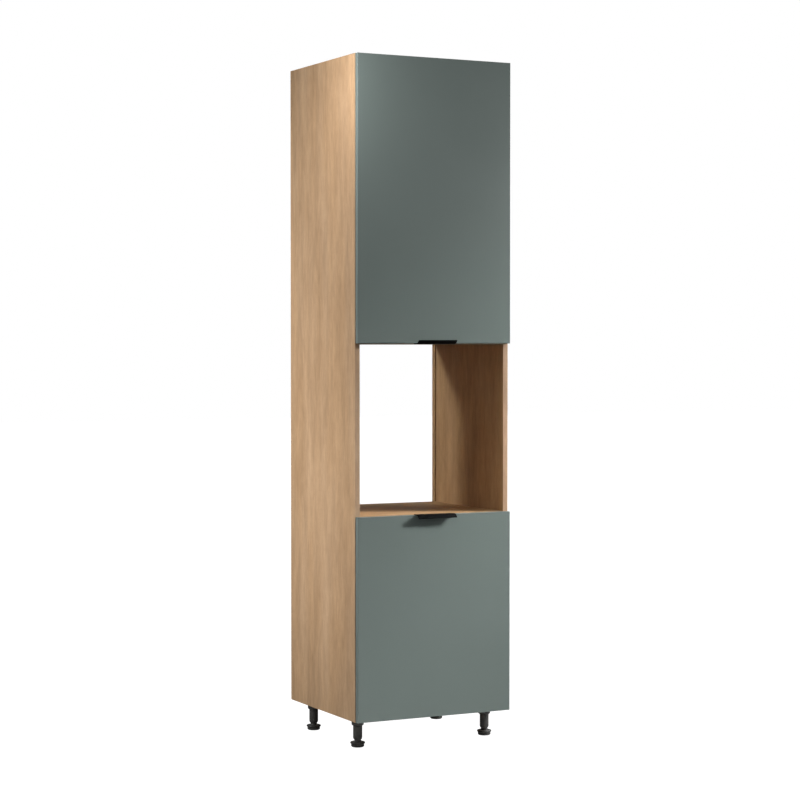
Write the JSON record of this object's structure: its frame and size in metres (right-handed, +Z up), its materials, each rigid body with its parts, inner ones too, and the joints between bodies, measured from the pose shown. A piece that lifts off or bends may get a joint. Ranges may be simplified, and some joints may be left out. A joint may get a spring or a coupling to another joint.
{
  "type": "tall kitchen cabinet",
  "caption": "Tall kitchen oven-housing cabinet: oak-effect carcass on adjustable legs, open oven niche between two flat matt doors with edge handles.",
  "frame": {"origin": "on the floor, under the middle of the cabinet's box, handles included", "axes": "+X right across the front, +Y to the back (the doors face -Y), +Z up"},
  "size_m": [0.6, 0.583, 2.39],
  "materials": {
    "oak_board": "oak-effect laminated board, fine vertical grain, satin",
    "oak_edge_band": "oak-effect edge band, satin",
    "back_board": "thin fibreboard with an oak-effect face",
    "grey_green_front": "grey-green matt lacquer on fibreboard",
    "black_handle": "black satin powder coat",
    "black_leg": "black moulded plastic",
    "beech_dowel": "plain fluted beech",
    "zinc_fitting": "zinc plated",
    "screw_steel": "bright zinc plated steel",
    "nickel_hinge": "nickel plated steel",
    "clear_bumper": "clear soft silicone"
  },
  "bodies": {
    "carcass": {"bottom_panel": "oak_board", "cam_bolts": "zinc_fitting", "cam_housings": "zinc_fitting", "dowels": "beech_dowel", "front_left_leg_column": "black_leg", "front_left_leg_socket": "black_leg", "front_right_leg_column": "black_leg", "front_right_leg_socket": "black_leg", "left_side_panel": "oak_board", "lower_arm_pins": "screw_steel", "lower_arm_screws": "screw_steel", "lower_back_panel": "back_board", "lower_hinge_arms": "nickel_hinge", "lower_hinge_plates": "nickel_hinge", "lower_plate_screws": "screw_steel", "lower_shelf": "oak_board", "niche_top_panel": "oak_board", "oven_shelf": "oak_board", "panel_edge_bands": "oak_edge_band", "rear_left_leg_column": "black_leg", "rear_left_leg_socket": "black_leg", "rear_right_leg_column": "black_leg", "rear_right_leg_socket": "black_leg", "right_side_panel": "oak_board", "shelf_edge_bands": "oak_edge_band", "shelf_pins": "zinc_fitting", "side_edge_bands": "oak_edge_band", "top_panel": "oak_board", "upper_arm_pins": "screw_steel", "upper_arm_screws": "screw_steel", "upper_back_panel": "back_board", "upper_hinge_arms": "nickel_hinge", "upper_hinge_plates": "nickel_hinge", "upper_plate_screws": "screw_steel", "upper_shelf_high": "oak_board", "upper_shelf_low": "oak_board"},
    "upper_hinge_link": {"upper_hinge_links": "nickel_hinge"},
    "lower_hinge_link": {"lower_hinge_links": "nickel_hinge"},
    "upper_door": {"upper_cup_pins": "screw_steel", "upper_cup_screws": "screw_steel", "upper_door": "grey_green_front", "upper_door_bumpers": "clear_bumper", "upper_handle": "black_handle", "upper_handle_screws": "screw_steel", "upper_hinge_cups": "nickel_hinge"},
    "lower_door": {"lower_cup_pins": "screw_steel", "lower_cup_screws": "screw_steel", "lower_door": "grey_green_front", "lower_door_bumpers": "clear_bumper", "lower_handle": "black_handle", "lower_handle_screws": "screw_steel", "lower_hinge_cups": "nickel_hinge"},
    "front_left_foot": {"front_left_foot": "black_leg"},
    "front_right_foot": {"front_right_foot": "black_leg"},
    "rear_left_foot": {"rear_left_foot": "black_leg"},
    "rear_right_foot": {"rear_right_foot": "black_leg"}
  },
  "joints": [
    {"name": "upper_link_turn", "type": "hinge", "parent": "carcass", "child": "upper_hinge_link", "pos_m": [0.2649, -0.2356, 1.89525], "axis": [0, 0, 1], "range_deg": [-24.2, 0]},
    {"name": "upper_door_swing", "type": "hinge", "parent": "upper_hinge_link", "child": "upper_door", "pos_m": [0.2887, -0.2555, 1.89525], "axis": [0, 0, 1], "range_deg": [0, 129.15], "stiffness_Nm_per_rad": 0.5, "springref_deg": -114.59},
    {"name": "lower_link_turn", "type": "hinge", "parent": "carcass", "child": "lower_hinge_link", "pos_m": [0.2649, -0.2356, 0.45375], "axis": [0, 0, 1], "range_deg": [-24.2, 0]},
    {"name": "lower_door_swing", "type": "hinge", "parent": "lower_hinge_link", "child": "lower_door", "pos_m": [0.2887, -0.2555, 0.45375], "axis": [0, 0, 1], "range_deg": [0, 129.15], "stiffness_Nm_per_rad": 0.5, "springref_deg": -114.59},
    {"name": "front_left_foot_height", "type": "slide", "parent": "carcass", "child": "front_left_foot", "axis": [0, 0, -1], "range_m": [-0.006, 0.02]},
    {"name": "front_right_foot_height", "type": "slide", "parent": "carcass", "child": "front_right_foot", "axis": [0, 0, -1], "range_m": [-0.006, 0.02]},
    {"name": "rear_left_foot_height", "type": "slide", "parent": "carcass", "child": "rear_left_foot", "axis": [0, 0, -1], "range_m": [-0.006, 0.02]},
    {"name": "rear_right_foot_height", "type": "slide", "parent": "carcass", "child": "rear_right_foot", "axis": [0, 0, -1], "range_m": [-0.006, 0.02]}
  ],
  "couplings": [
    {"joint": "upper_link_turn", "follows": "upper_door_swing", "ratio": -0.18699},
    {"joint": "lower_link_turn", "follows": "lower_door_swing", "ratio": -0.18699}
  ]
}
